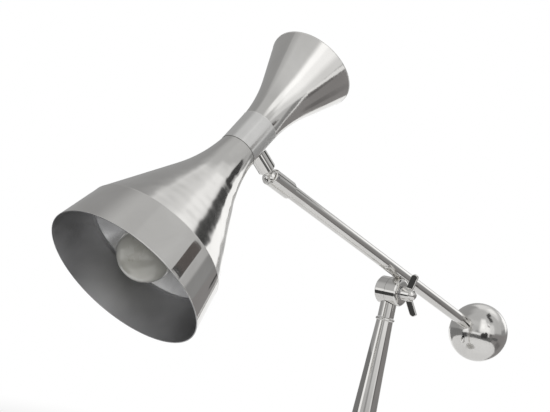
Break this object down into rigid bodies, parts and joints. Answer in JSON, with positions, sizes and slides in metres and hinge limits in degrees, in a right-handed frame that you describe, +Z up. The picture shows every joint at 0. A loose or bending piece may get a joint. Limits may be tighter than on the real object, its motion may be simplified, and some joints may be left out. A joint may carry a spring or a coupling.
{
  "type": "searchlight table lamp",
  "caption": "Table lamp with an hourglass searchlight shade on a ball joint, a clamped swing arm with a ball counterweight, and a tapered column on a weighted round base.",
  "frame": {"origin": "centre of the felt under the round base, on the table", "axes": "+Z up, +X the side that the shade hangs over, +Y the side of the wing nut"},
  "size_m": [0.8568, 0.22, 0.6994],
  "materials": {
    "polished_nickel": "mirror-polished nickel plate",
    "shade_nickel": "polished nickel plate outside",
    "shade_lining": "satin",
    "cast_weight": "rough, painted black",
    "felt": "felt",
    "rubber": "matte",
    "plated_steel": "zinc plate",
    "black_moulding": "moulded",
    "holder_moulding": "moulded",
    "opal_glass": "frosted white",
    "bulb_cap_metal": "plain"
  },
  "bodies": {
    "base": {"base_cover": "polished_nickel", "base_weight": "cast_weight", "base_felt": "felt", "base_washer": "plated_steel", "base_nut": "plated_steel", "cable_grommet": "rubber", "switch_body": "black_moulding", "switch_ring": "polished_nickel", "column": "polished_nickel", "column_foot": "polished_nickel", "column_cap": "polished_nickel", "tie_rod": "plated_steel", "swivel_screw": "plated_steel"},
    "post_head": {"post_socket": "polished_nickel", "hub_cap": "polished_nickel", "clamp_bolt": "plated_steel"},
    "arm": {"arm_knuckle": "polished_nickel", "flange_washer": "polished_nickel", "spring_washer": "plated_steel", "arm_tube": "polished_nickel", "tube_stop_screw": "polished_nickel", "cradle_screw": "polished_nickel", "counterweight_ball": "polished_nickel", "ball_set_screw": "plated_steel", "joint_cup": "polished_nickel", "joint_screw": "plated_steel"},
    "wing_nut": {"wing_nut": "polished_nickel"},
    "joint_ball": {"ball_stud": "polished_nickel", "stud_nut": "plated_steel"},
    "head": {"stub_collar": "polished_nickel", "neck_sleeve": "shade_nickel", "neck_liner": "shade_lining", "shade_band": "shade_nickel", "shade_horn": "shade_nickel", "rear_trumpet": "shade_nickel", "neck_baffle": "shade_lining", "holder_stem": "plated_steel", "holder_nuts": "plated_steel", "lamp_holder": "holder_moulding", "holder_ring": "holder_moulding", "bulb_glass": "opal_glass", "bulb_cap": "bulb_cap_metal"},
    "switch_button": {"switch_button": "polished_nickel"}
  },
  "joints": [
    {"name": "column_swivel", "type": "hinge", "parent": "base", "child": "post_head", "pos_m": [0, 0, 0.4035], "axis": [0, 0, 1], "range_deg": [-170, 170]},
    {"name": "arm_tilt", "type": "hinge", "parent": "post_head", "child": "arm", "pos_m": [0, 0, 0.4425], "axis": [0, -1, 0], "range_deg": [-25, 50]},
    {"name": "wing_nut_turn", "type": "hinge", "parent": "post_head", "child": "wing_nut", "pos_m": [0, 0.03, 0.4425], "axis": [0, 1, 0], "range_deg": [0, 270]},
    {"name": "head_tilt", "type": "hinge", "parent": "arm", "child": "joint_ball", "pos_m": [0.30859, 0.007, 0.53029], "axis": [0, -1, 0], "range_deg": [-33, 38]},
    {"name": "head_swivel", "type": "hinge", "parent": "joint_ball", "child": "head", "pos_m": [0.35199, -0.00251, 0.56322], "axis": [0.7847, -0.1719, 0.5956], "range_deg": [-170, 170]},
    {"name": "switch_press", "type": "slide", "parent": "base", "child": "switch_button", "axis": [0, 0, -1], "range_m": [0, 0.0025], "stiffness_N_per_m": 600}
  ]
}
